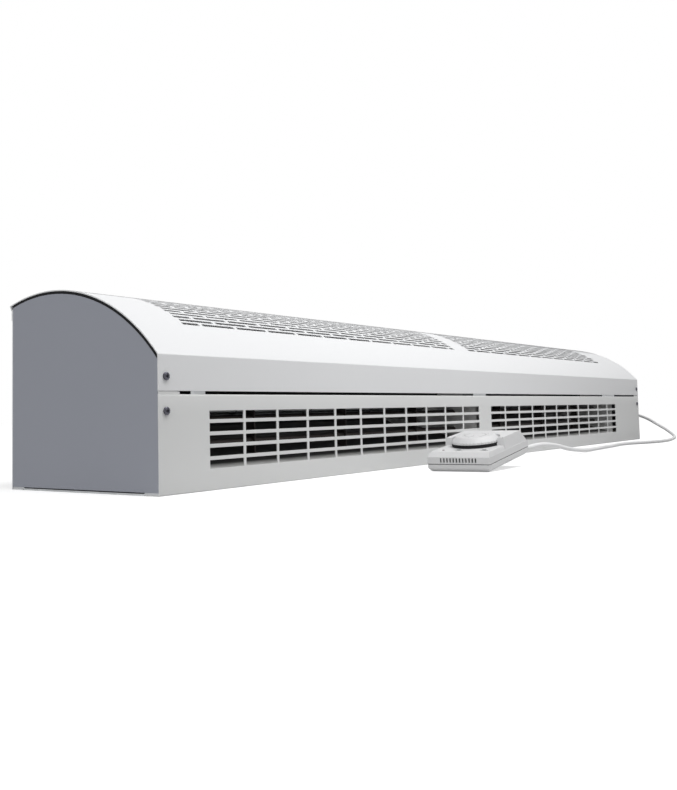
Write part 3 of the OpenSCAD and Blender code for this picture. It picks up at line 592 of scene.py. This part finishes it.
def surface_group(recipe):
    """A recipe's node group, built once.

    Colour, grain, variation and roughness go in. Colour, roughness and height come out.
    """
    name = recipe.__name__
    if name in bpy.data.node_groups:
        return bpy.data.node_groups[name]
    group = bpy.data.node_groups.new(name, "ShaderNodeTree")
    colour, number = "NodeSocketColor", "NodeSocketFloat"
    for label, kind, value in (("Colour", colour, (0.8, 0.8, 0.8, 1)), ("Grain", number, 900),
                               ("Variation", number, 0.04), ("Roughness", number, 0.45)):
        socket = group.interface.new_socket(label, in_out="INPUT", socket_type=kind)
        socket.default_value = value
    for label, kind in (("Colour", colour), ("Roughness", number), ("Height", number)):
        group.interface.new_socket(label, in_out="OUTPUT", socket_type=kind)
    given = add(group, "NodeGroupInput").outputs
    add(group, "NodeGroupOutput", *recipe(group, given, object_place(group)))
    return group


def finish(name, colour=None):
    """A finish of the table as a material, in a setting's colour if one is given.

    Its recipe's outputs go into one Principled shader, and its constants are on the shader.
    """
    if name in bpy.data.materials:
        return bpy.data.materials[name]
    values = {**USUAL, **FINISHES[name]}
    rgba = tuple((values["colour"] if colour is None else colour)[:3]) + (1,)
    material = bpy.data.materials.new(name)
    material.use_nodes = True
    material.diffuse_color = rgba
    tree = material.node_tree
    shader = tree.nodes["Principled BSDF"]
    group = tree.nodes.new("ShaderNodeGroup")
    group.node_tree = surface_group(values["recipe"])
    for label, value in (("Colour", rgba), ("Grain", values["grain"]),
                         ("Variation", values["variation"]), ("Roughness", values["rough"])):
        group.inputs[label].default_value = value
    bump = add(tree, "ShaderNodeBump", Strength=values["bump"], Distance=values["depth"],
               Height=group.outputs["Height"])
    for label, source in (("Base Color", group.outputs["Colour"]),
                          ("Roughness", group.outputs["Roughness"]),
                          ("Normal", bump.outputs[0])):
        tree.links.new(source, shader.inputs[label])
    for label, value in (("Metallic", values["metallic"]), ("Coat Weight", values["coat"]),
                         ("Specular IOR Level", values["specular"])):
        shader.inputs[label].default_value = value
    return material


def painted_dark_rim(material):
    """Darkens a coat where it is seen almost edge on, a painted reflection of the dim room behind
    it.

    Layer Weight mixes in a dark matt shader there.
    """
    tree = material.node_tree
    out = next(n for n in tree.nodes if n.type == "OUTPUT_MATERIAL")
    facing = add(tree, "ShaderNodeLayerWeight", Blend=0.5).outputs["Facing"]
    coat = tree.nodes["Principled BSDF"].outputs[0]
    painted_reflection = add(tree, "ShaderNodeBsdfDiffuse", Color=PAINTED_RIM_SHADE).outputs[0]
    mix = add(tree, "ShaderNodeMixShader", ramp(tree, facing, RIM_RAMP), coat, painted_reflection)
    tree.links.new(mix.outputs[0], out.inputs[0])


# ------------------------------ operators


class PictureCamera(bpy.types.Operator):
    """Set the camera where the photograph was taken from"""

    bl_idname = "air_curtain.camera"
    bl_label = "Camera"

    def execute(self, context):
        lens = bpy.data.cameras.new("camera")
        lens.sensor_width = SENSOR_MM
        lens.lens = FOCAL_PX / PHOTO_H * lens.sensor_width
        lens.shift_x = (PHOTO_W / 2 - CENTRE_PX[0]) / PHOTO_H
        lens.shift_y = (CENTRE_PX[1] - PHOTO_H / 2) / PHOTO_H
        lens.clip_start = NEAREST_SEEN
        camera = bpy.data.objects.new("camera", lens)
        axes = Matrix((CAMERA_RIGHT, CAMERA_UP, [-v for v in CAMERA_AHEAD])).transposed()
        camera.matrix_world = Matrix.Translation(CAMERA_AT) @ axes.to_4x4()
        context.scene.collection.objects.link(camera)
        context.scene.camera = camera
        return {"FINISHED"}


class RemoteCable(bpy.types.Operator):
    """Lay the remote's cable from its strain relief to the gland"""

    bl_idname = "air_curtain.cable"
    bl_label = "Remote cable"

    def execute(self, context):
        looks = context.scene.remote_looks
        radius = looks.cord_diameter / 2
        path = smooth_path(CORD_ROUTE, CORD_STEPS)
        sheath = finish("cable_sheath", looks.cord_colour)
        cable = new_mesh("remote_cable", tube(path, radius, CORD_SIDES),
                         tube_faces(len(path), CORD_SIDES), "casing", sheath)
        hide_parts("remote_cord")
        self.relief("remote_relief", path[REMOTE_WALL:], radius, sheath)
        self.relief("casing_relief", path[::-1], radius, sheath)
        return {"FINISHED"}

    def relief(self, name, run, radius, material):
        """Tapered sleeve round the start of the cable's run.

        Its radius falls evenly from 2.1 mm over the cable's to 0.5 mm over it, and dips by
        up to 0.7 mm in each of five grooves, which are the fourth power of a sine and grow
        shallower along the sleeve.
        """
        along = np.concatenate([[0], np.cumsum(np.linalg.norm(np.diff(run, axis=0), axis=1))])
        s = np.linspace(0, RELIEF_L, RELIEF_RINGS)
        centre = np.stack([np.interp(s, along, run[:, k]) for k in range(3)], -1)
        u = s / s[-1]
        wave = np.sin(np.pi * np.clip((u - GROOVES_FROM) / GROOVES_SPAN, 0, 1) * GROOVES) ** 4
        outer = radius + RELIEF_T - RELIEF_TAPER * u - GROOVE_T * (1 - GROOVE_FADE * u) * wave
        outer[-1] = radius + RELIEF_LIP_T
        unit = tube(centre, 1.0, RELIEF_SIDES).reshape(len(s), RELIEF_SIDES, 3)
        unit -= centre[:, None, :]
        points = (centre[:, None, :] + outer[:, None, None] * unit).reshape(-1, 3)
        new_mesh(name, points, tube_faces(len(s), RELIEF_SIDES), "casing", material)


class Stage(bpy.types.Operator):
    """Lay the pale floor and hang the soft lights"""

    bl_idname = "air_curtain.stage"
    bl_label = "Stage"

    def execute(self, context):
        scene = context.scene
        looks = scene.stage_looks
        scene.view_settings.view_transform = "Standard"
        self.room(scene, looks.sky_level)
        self.floor(scene, looks.floor_colour)
        for name, at, aim, size, share in LIGHTS:
            lamp = bpy.data.lights.new(name, "AREA")
            lamp.shape = "RECTANGLE"
            lamp.size, lamp.size_y = size
            lamp.energy = looks.key_power * share
            holder = bpy.data.objects.new(name, lamp)
            turn = (Vector(aim) - Vector(at)).to_track_quat("-Z", "Y").to_matrix().to_4x4()
            holder.matrix_world = Matrix.Translation(at) @ turn
            scene.collection.objects.link(holder)
        return {"FINISHED"}

    def room(self, scene, level):
        """White where the camera sees it, itself or mirrored, and dim as a light."""
        scene.world = bpy.data.worlds.new("room")
        scene.world.use_nodes = True
        tree = scene.world.node_tree
        tree.nodes.clear()
        rays = add(tree, "ShaderNodeLightPath").outputs
        mirrored = maths(tree, "MAXIMUM", rays["Is Glossy Ray"], rays["Is Transmission Ray"])
        seen = maths(tree, "MAXIMUM", rays["Is Camera Ray"], mirrored)
        room = add(tree, "ShaderNodeBackground", Color=PALE_ROOM, Strength=level).outputs[0]
        white = add(tree, "ShaderNodeBackground", Color=WHITE, Strength=1.0).outputs[0]
        mix = add(tree, "ShaderNodeMixShader", seen, room, white)
        add(tree, "ShaderNodeOutputWorld", mix.outputs[0])

    def floor(self, scene, colour):
        """A square whose tone and glow follow the distance from an oval's middle.

        It darkens away from the object, and glows to white where the camera sees it.
        """
        paper = bpy.data.materials.new("paper_floor")
        paper.use_nodes = True
        tree = paper.node_tree
        tree.nodes.clear()
        where = object_place(tree)
        oval = add(tree, "ShaderNodeVectorMath", where, OVAL_SCALE, OVAL_SHIFT,
                   operation="MULTIPLY_ADD").outputs[0]
        away = add(tree, "ShaderNodeVectorMath", oval, operation="LENGTH").outputs["Value"]
        tint = add(tree, "ShaderNodeRGB").outputs[0]
        tint.default_value = colour
        tone = mottled(tree, tint, scaled_noise(tree, where, 3.0), 0.01)
        base = add(tree, "ShaderNodeBsdfDiffuse", scaled(tree, tone, ramp(tree, away, TONE_RAMP)))
        rays = add(tree, "ShaderNodeLightPath").outputs
        seen = maths(tree, "MAXIMUM", rays["Is Camera Ray"], rays["Is Glossy Ray"])
        level = maths(tree, "MULTIPLY", seen, ramp(tree, away, GLOW_RAMP))
        glow = add(tree, "ShaderNodeEmission", Color=WHITE, Strength=level)
        both = add(tree, "ShaderNodeAddShader", base.outputs[0], glow.outputs[0])
        add(tree, "ShaderNodeOutputMaterial", both.outputs[0])
        mesh = bpy.data.meshes.new("floor")
        x, y = bars(-FLOOR_REACH, FLOOR_REACH, np.array(FLOOR_REACH))
        mesh.from_pydata(np.stack([x, y, np.zeros(4)], -1).tolist(), [], [(0, 1, 2, 3)])
        mesh.materials.append(paper)
        floor = bpy.data.objects.new("floor", mesh)
        scene.collection.objects.link(floor)


class CasingSheets(bpy.types.Operator):
    """Coat the cover, the panels and the rubber strips"""

    bl_idname = "air_curtain.casing"
    bl_label = "Casing"

    def execute(self, context):
        looks = context.scene.casing_looks
        edge = looks.sheet_edge
        white = finish("white_coat", looks.cover_colour)
        grey = finish("grey_coat", looks.front_colour)
        end = finish("end_coat", looks.end_colour)
        # paints a dark reflection on the white coat where it is seen edge on
        painted_dark_rim(white)
        cover = self.cover(white)
        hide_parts("top_cover")
        soften(cover, edge)
        panel = self.front(grey)
        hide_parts("front_panel")
        soften(panel, edge)
        self.tab("slot_tab_left", -HALF_L + TAB_GAP, grey)
        self.tab("slot_tab_right", FLANGE_X, grey)
        dress("rear_panel", white, edge)
        zinc = finish("galvanised_sheet")
        for side in ("left", "right"):
            dress("end_panel_" + side, end, edge)
            dress("gasket_" + side, finish("rubber_strip"), GASKET_EDGE)
            dress("catch_" + side, zinc, edge)
        dress("catch_mid", zinc, edge)
        dress("wall_plate", zinc, edge)
        return {"FINISHED"}

    def cover(self, material):
        """The arched cover with its slots.

        The profile runs up the front strip, round the fold, over the arch, whose angle falls
        evenly between rows, and down the drip edge. Lines cross it at both edges of every
        slot row, and lines along it at both ends of every slot. Every other row is half a
        slot further on.
        """
        half = math.degrees(SLOT_H / 2 / ARCH_R)
        rows = SLOT_DEG - SLOT_STEP_DEG * np.arange(SLOT_ROWS)
        lead = np.linspace(FOLD_DEG, rows[0] + half, 9)[:-1]
        over = np.concatenate([lead, np.stack([rows + half, rows - half], -1).ravel(),
                               np.linspace(rows[-1] - half, TIP_DEG, 5)[1:]])
        inner_r = ARCH_R - SHEET_T
        in_arch = arc_at(ARCH_AT, inner_r, over)
        in_arch[-1] = arc_at(ARCH_AT, inner_r, [TIP_DEG + TIP_BACK_DEG[0]])[0]
        fold = arc(FOLD_AT, FOLD_R, 180, FOLD_DEG, 7)[:-1]
        in_fold = arc(FOLD_AT, FOLD_R - SHEET_T, 180, FOLD_DEG, 7)[:-1]
        outer = np.vstack([[(-HALF_D, STRIP_Z)], fold, arc_at(ARCH_AT, ARCH_R, over),
                           arc_at(ARCH_AT, inner_r, [TIP_DEG]),
                           [(HALF_D + SHEET_T, LIP_Z + LIP_RISE[0]),
                            (HALF_D + SHEET_T, LIP_Z)]])
        inner = np.vstack([[(SHEET_T - HALF_D, STRIP_Z)], in_fold, in_arch,
                           arc_at(ARCH_AT, inner_r, [TIP_DEG + TIP_BACK_DEG[1]]),
                           [(HALF_D, LIP_Z + LIP_RISE[1]), (HALF_D, LIP_Z)]])
        spans = [self.slots_along(shift) for shift in (0.5, 1.0)]
        xs = np.unique(np.round(np.concatenate([[-HALF_L, HALF_L], *map(np.ravel, spans)]), 7))
        middle = (xs[:-1] + xs[1:])[:, None] / 2
        is_open = np.zeros((len(xs) - 1, len(outer) - 1), bool)
        first_row = 1 + len(fold) + len(lead)
        for start, span in zip((0, 2), spans):
            inside = ((middle > span[:, 0]) & (middle < span[:, 1])).any(1)
            is_open[:, first_row + start:first_row + 2 * SLOT_ROWS:4] |= inside[:, None]
        return pierced_sheet("inlet_cover", xs, outer, inner, is_open, "casing", material)

    def slots_along(self, shift):
        """Both ends in X of every slot in a row that starts a share of a slot's pitch in."""
        found = []
        for x0, x1 in INLETS:
            k = np.arange(math.ceil((x1 - x0) / SLOT_PITCH) + 1)
            low = np.maximum(x0, x0 + (shift + k - 1) * SLOT_PITCH + SLOT_WEB / 2)
            high = np.minimum(x1, x0 + (shift + k) * SLOT_PITCH - SLOT_WEB / 2)
            found.append(np.stack([low, high], -1)[high - low > 2 * SLOT_H])
        return np.vstack(found)

    def front(self, material):
        """The front panel with its openings.

        The profile runs in along the foot, round a bend, up the face and round a second bend
        into the top flange. Lines cross it at both edges of every opening, both ways.
        """
        bend_points = 5
        tops = FIRST_TOP - ROW_PITCH * np.arange(OPENING_ROWS)[::-1]
        zs = np.stack([tops - OPENING_H, tops], -1).ravel()
        bends = ((BEND_OUT - HALF_D, BEND_OUT), (BEND_OUT - HALF_D, FRONT_H - BEND_OUT))
        outer, inner = (
            np.vstack([[(FOOT_Y, t)], arc(bends[0], r, 270, 180, bend_points),
                       [(t - HALF_D, z) for z in zs],
                       arc(bends[1], r, 180, 90, bend_points), [(FLANGE_Y, FRONT_H - t)]])
            for r, t in ((BEND_OUT, 0), (BEND_IN, SHEET_T)))
        left = np.add.outer(WINDOWS_X, COLUMN_PITCH * np.arange(OPENING_COLUMNS)).ravel()
        sides = [-HALF_L, -FLANGE_X, FLANGE_X, HALF_L]
        xs = np.sort(np.concatenate([sides, left, left + OPENING_W]))
        middle = (xs[:-1] + xs[1:]) / 2
        is_open = np.zeros((len(xs) - 1, len(outer) - 1), bool)
        inside = ((middle[:, None] > left) & (middle[:, None] < left + OPENING_W)).any(1)
        first_row = 1 + bend_points
        is_open[:, first_row:first_row + 2 * OPENING_ROWS:2] = inside[:, None]
        is_open[:, -1] = np.abs(middle) > FLANGE_X
        return pierced_sheet("outlet_panel", xs, outer, inner, is_open, "casing", material)

    def tab(self, name, x, material):
        """Small bent tab: a profile of three points in Y and Z, drawn along X."""
        rise = np.array(TAB_PROFILE)
        pierced_sheet(name, x + np.array(TAB_X), rise, rise + TAB_STEP, np.zeros((2, 2), bool),
                      "casing", material)


class Screws(bpy.types.Operator):
    """Turn the pan-head screws with their cross recess"""

    bl_idname = "air_curtain.screws"
    bl_label = "Screws"

    def execute(self, context):
        points, faces = self.screw()
        for node, out in (("front_screws", -1.0), ("rear_screws", 1.0)):
            low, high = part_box(node)
            if out < 0:
                seat = low.y + HEAD_T
                xs, zs = (low.x + HEAD_R, high.x - HEAD_R), (low.z + HEAD_R, high.z - HEAD_R)
            else:
                seat = high.y - HEAD_T
                span = high.x - low.x - 2 * HEAD_R
                xs = [low.x + HEAD_R + span * k / (REAR_SCREWS - 1) for k in range(REAR_SCREWS)]
                zs = ((low.z + high.z) / 2,)
            turned = np.stack([points[:, 0], out * points[:, 2], points[:, 1]], -1)
            places = [(x, seat, z) for x in xs for z in zs]
            piece = new_mesh(node + "_turned", np.vstack([turned + p for p in places]),
                             np.vstack([faces + len(points) * k for k in range(len(places))]),
                             "casing", finish("screw_plating_and_painted_shade"))
            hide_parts(node)
        return {"FINISHED"}

    def screw(self):
        """Rings round the screw's axis.

        Over the head the height is a dome, the head's height times the root of one minus
        0.72 times the fourth power of the radius as a share of the head's. It is less a
        cross whose depth falls off with the smaller of the two offsets from its arms. Under
        the head run the flat seat and the shank.
        """
        turn = turn_round(48)[None, :]
        r = np.linspace(2 * NO_R, 1.0, 26)[:, None] ** 0.8 * HEAD_R
        x, y = r * np.cos(turn), r * np.sin(turn)
        dome = HEAD_T * (1 - DOME_DROP * (r / HEAD_R) ** 4) ** 0.5 + 0 * turn
        arm = np.minimum(np.abs(x), np.abs(y))
        reach = np.clip((CROSS_L - np.maximum(np.abs(x), np.abs(y))) / CROSS_END_L, 0, 1)
        cross = np.clip(1 - arm / CROSS_HALF_W, 0, 1) ** 0.5 * reach * CROSS_T
        top = np.stack([x, y, dome - cross], -1)
        under = revolved(((HEAD_R, HEAD_RIM_T), (HEAD_R * SEAT_SHARE, 0.0), (SHANK_R, 0.0),
                          (SHANK_R, -SHANK_L), (NO_R, -SHANK_L - POINT_L)), turn)
        rings = np.vstack([top, under])
        return rings.reshape(-1, 3), grid_faces(len(rings), turn.size, close_cols=True)


class InnerParts(bpy.types.Operator):
    """Give the duct, fan, motor and electrical parts their metals and plastics"""

    bl_idname = "air_curtain.inside"
    bl_label = "Inner parts"

    def execute(self, context):
        edge = context.scene.casing_looks.sheet_edge
        for name, rounding, nodes in INNER_PARTS:
            for node in nodes:
                dress(node, finish(name), edge if rounding is None else rounding)
        return {"FINISHED"}


class RemoteCase(bpy.types.Operator):
    """Mould the remote's case, dial, switches, lamp and strain reliefs"""

    bl_idname = "air_curtain.remote"
    bl_label = "Remote"

    def execute(self, context):
        looks = context.scene.remote_looks
        case = finish("case_moulding", looks.case_colour)
        dress("remote_base", case, looks.case_edge, 3)
        dress("remote_cover", case, looks.case_edge, 3)
        dress("temperature_dial", case, DIAL_EDGE)
        for node in ("fan_switch", "heat_switch"):
            dress(node, finish("knob_moulding"), SWITCH_EDGE)
        dress("remote_lamp", finish("lamp_lens"), LAMP_EDGE)
        for node in ("remote_gland", "cord_gland"):
            dress(node, case, GLAND_EDGE, 3)
        # black pieces paint the shade under the dial, in the case's seam and behind the vents
        self.seat()
        self.seam()
        self.vent_shade()
        return {"FINISHED"}

    def painted_shade_piece(self, name, points, faces):
        """A black piece of painted shade in the remote's own frame."""
        new_mesh(name, points, faces, "casing", finish("painted_shade_black"),
                 at_remote())

    def seat(self):
        """Painted shadow under the dial, a black collar: a profile of radius and height, turned
        round its axis.
        """
        rings = revolved(DIAL_SHADOW_PROFILE, turn_round(96)) + (DIAL_X, 0, 0)
        faces = grid_faces(*rings.shape[:2], close_rows=True, close_cols=True)
        self.painted_shade_piece("dial_shadow_ring", rings.reshape(-1, 3), faces)

    def seam(self):
        """Painted shadow line in the case's seam, a black band.

        Four rings follow the case's outline, a rectangle whose corners are arcs. Two are
        the outline, and two are drawn in towards its middle.
        """
        (x0, x1), w, r = SEAM_X, SEAM_HALF_W, SEAM_CORNER_R
        loop = np.vstack([arc((x, y), r, a, a + 90, 4) for x, y, a in (
            (x1 - r, w - r, 0), (x0 + r, w - r, 90), (x0 + r, r - w, 180),
            (x1 - r, r - w, 270))])
        middle = loop.mean(0)
        low, high = SEAM_Z
        rings = np.stack([
            np.column_stack([middle + (loop - middle) * (1 - inset), np.full(len(loop), z)])
            for inset, z in ((0.0, low), (0.0, high), (SEAM_INSET, high), (SEAM_INSET, low))])
        faces = grid_faces(4, len(loop), close_rows=True, close_cols=True)
        self.painted_shade_piece("seam_shadow", rings.reshape(-1, 3), faces)

    def vent_shade(self):
        """Black plate of painted shade behind the case's vents, which bows in by a parabola of Y.
        """
        ys = np.linspace(*VENT_SHADE_Y, 21)
        bow = VENT_SHADE_X + VENT_SHADE_BOW * (1 - (ys / VENT_SHADE_Y[0]) ** 2)
        low, high = VENT_SHADE_Z
        rings = np.stack([np.column_stack([bow + t, ys, np.full(len(ys), z)])
                          for t, z in ((0.0, low), (0.0, high), (VENT_SHADE_T, high),
                                       (VENT_SHADE_T, low))], 1)
        self.painted_shade_piece("vent_shade_plate", rings.reshape(-1, 3), tube_faces(len(ys), 4))


class DialMarks(bpy.types.Operator):
    """Print the dial's ticks and plain numbers, and the marks by the switches"""

    bl_idname = "air_curtain.marks"
    bl_label = "Dial marks"

    def execute(self, context):
        ink = finish("printed_ink")
        steps = np.arange(0, DIAL_TURN_DEG + 1, TICK_DEG)
        a = np.radians(DIAL_START_DEG + steps)[:, None]
        start, half = np.where(steps[:, None] % NUMBER_DEG == 0, LONG_TICK, SHORT_TICK).T
        r, side = bars(start, TICK_R, half)
        self.printed("dial_ticks", DIAL_X + (r * np.cos(a) - side * np.sin(a)),
                     r * np.sin(a) + side * np.cos(a), DIAL_FACE, "dial", ink)
        for k in range(DIAL_TURN_DEG // NUMBER_DEG + 1):
            self.number(context, k, ink)
        place = np.array([-1, 0, 1, -1, 0, 1])
        ends = MARK_X[1] + MARK_GROWTH * (place + 1)
        x, side = bars(MARK_X[0], ends, np.full(len(place), MARK_HALF_W))
        y = (np.repeat(MARKS_Y, 3) + MARK_PITCH * place)[:, None] + side
        self.printed("switch_marks", x, y, LEDGE_Z, "casing", ink)
        return {"FINISHED"}

    def printed(self, name, x, y, z, body, ink):
        """Flat marks a little over a face at height z: every four corners are one mark."""
        points = np.stack([x, y, np.full_like(x, z + INK_LIFT)], -1).reshape(-1, 3)
        new_mesh(name, points, np.arange(len(points)).reshape(-1, 4), body, ink,
                 at_remote(), smooth=False)

    def number(self, context, k, ink):
        """The dial's number of that place, as a flat mesh that reads from the dial's rim."""
        a = math.radians(DIAL_START_DEG + NUMBER_DEG * k)
        label = str(NUMBER_STEP * (k + 1))
        text = bpy.data.curves.new("dial_number", "FONT")
        text.body = label
        text.size = NUMBER_H
        text.align_x, text.align_y = "CENTER", "CENTER"
        holder = bpy.data.objects.new("number", text)
        context.scene.collection.objects.link(holder)
        context.view_layer.update()
        flat = bpy.data.meshes.new_from_object(holder)
        bpy.data.objects.remove(holder)
        at = (DIAL_X + NUMBER_R * math.cos(a), NUMBER_R * math.sin(a), DIAL_FACE + INK_LIFT)
        flat.transform(at_remote() @ Matrix.Translation(at)
                       @ Matrix.Rotation(a - math.pi / 2, 4, "Z"))
        show("dial_number_" + label, flat, ink, "dial")


class AirCurtainPanel(bpy.types.Panel):
    """Lists the pieces and the stage"""

    bl_idname = "VIEW3D_PT_air_curtain"
    bl_label = "Air Curtain"
    bl_space_type = "VIEW_3D"
    bl_region_type = "UI"
    bl_category = "Air Curtain"

    def draw(self, context):
        for operator in OPERATORS:
            self.layout.operator(operator.bl_idname)
        for name in SETTINGS:
            group = getattr(context.scene, name)
            box = self.layout.box()
            for key in group.bl_rna.properties.keys():
                if key not in {"rna_type", "name"}:
                    box.prop(group, key)


SETTINGS = {"casing_looks": CasingLooks, "remote_looks": RemoteLooks, "stage_looks": StageLooks}
OPERATORS = (PictureCamera, RemoteCable, Stage, CasingSheets, Screws, InnerParts, RemoteCase,
             DialMarks)


def register():
    for cls in (*SETTINGS.values(), *OPERATORS, AirCurtainPanel):
        bpy.utils.register_class(cls)
    for name, cls in SETTINGS.items():
        setattr(bpy.types.Scene, name, bpy.props.PointerProperty(type=cls))


def unregister():
    for name in SETTINGS:
        delattr(bpy.types.Scene, name)
    for cls in reversed((*SETTINGS.values(), *OPERATORS, AirCurtainPanel)):
        bpy.utils.unregister_class(cls)


def main():
    """Makes every piece in order."""
    register()
    for operator in OPERATORS:
        area, name = operator.bl_idname.split(".")
        result = getattr(getattr(bpy.ops, area), name)()
        if result != {"FINISHED"}:
            raise RuntimeError(operator.bl_idname + " did not finish")


if __name__ == "__main__":
    main()
